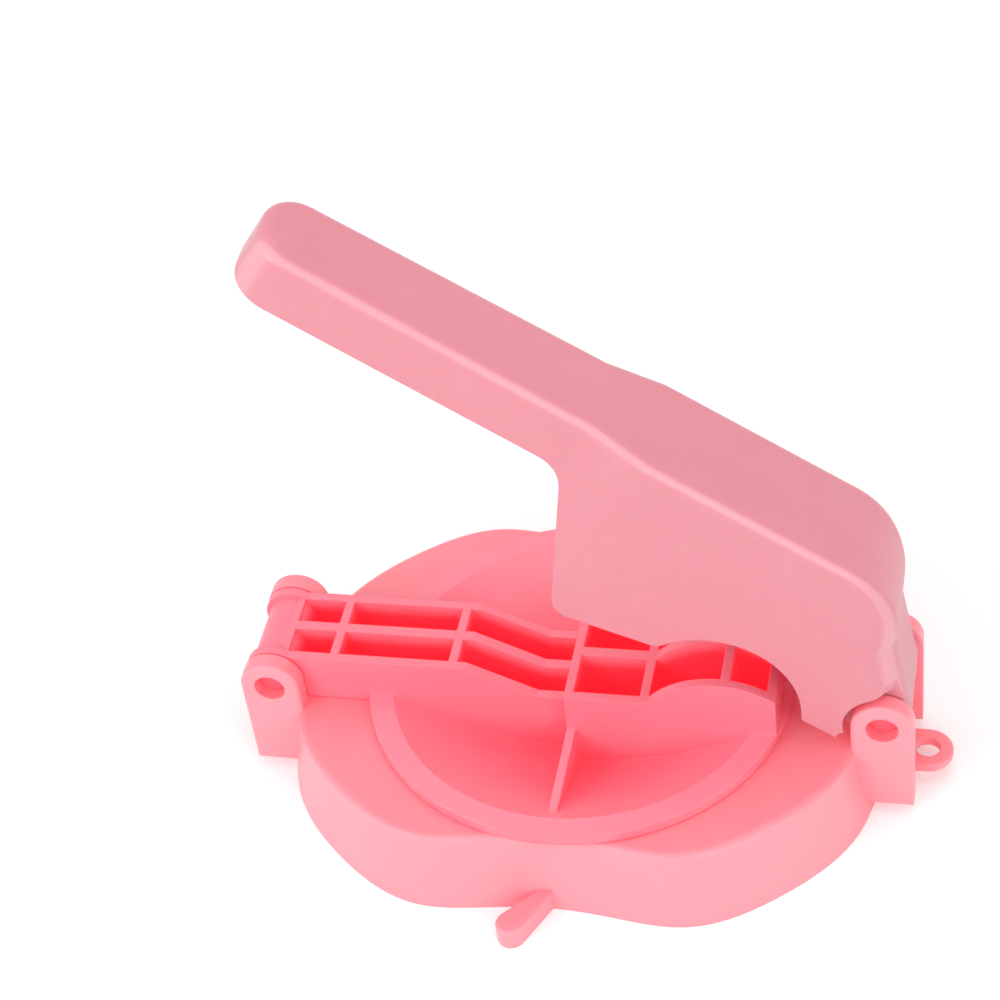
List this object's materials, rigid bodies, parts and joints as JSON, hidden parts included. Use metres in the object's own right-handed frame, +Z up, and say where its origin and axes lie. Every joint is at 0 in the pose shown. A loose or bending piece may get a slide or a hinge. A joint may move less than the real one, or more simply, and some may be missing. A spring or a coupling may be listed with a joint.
{
  "type": "dumpling wrapper press",
  "caption": "Hand press that flattens a ball of dough into a round wrapper: hollow base, dished plate on a hinged ribbed arm, and a lever handle hinged at the other end.",
  "frame": {"origin": "on the surface that the base stands on, under the centre of the round press plate", "axes": "+Z up; +X towards the handle's hinge and the hanging loop, -X towards the arm's hinge; -Y is the side with the small stalk, which faces the picture's camera"},
  "size_m": [0.1782, 0.1271, 0.1656],
  "materials": {
    "base_plastic": "satin",
    "plate_plastic": "satin",
    "handle_plastic": "satin",
    "pin_plastic": "satin"
  },
  "bodies": {
    "base": {"base": "base_plastic", "plate_hinge_pin": "pin_plastic"},
    "handle_pin": {"handle_hinge_pin": "pin_plastic"},
    "handle": {"handle": "handle_plastic"},
    "press_plate": {"press_plate": "plate_plastic"}
  },
  "joints": [
    {"name": "handle_lift", "type": "hinge", "parent": "base", "child": "handle_pin", "pos_m": [0.0771, 0, 0.0298], "axis": [0, 1, 0], "range_deg": [0, 110]},
    {"name": "handle_press", "type": "hinge", "parent": "handle_pin", "child": "handle", "pos_m": [0.0771, 0, 0.0298], "axis": [0, 1, 0], "range_deg": [-19, 0]},
    {"name": "plate_lift", "type": "hinge", "parent": "base", "child": "press_plate", "pos_m": [-0.0771, 0, 0.0298], "axis": [0, -1, 0], "range_deg": [0, 66]}
  ],
  "couplings": [
    {"joint": "plate_lift", "follows": "handle_lift", "ratio": 0.6}
  ]
}
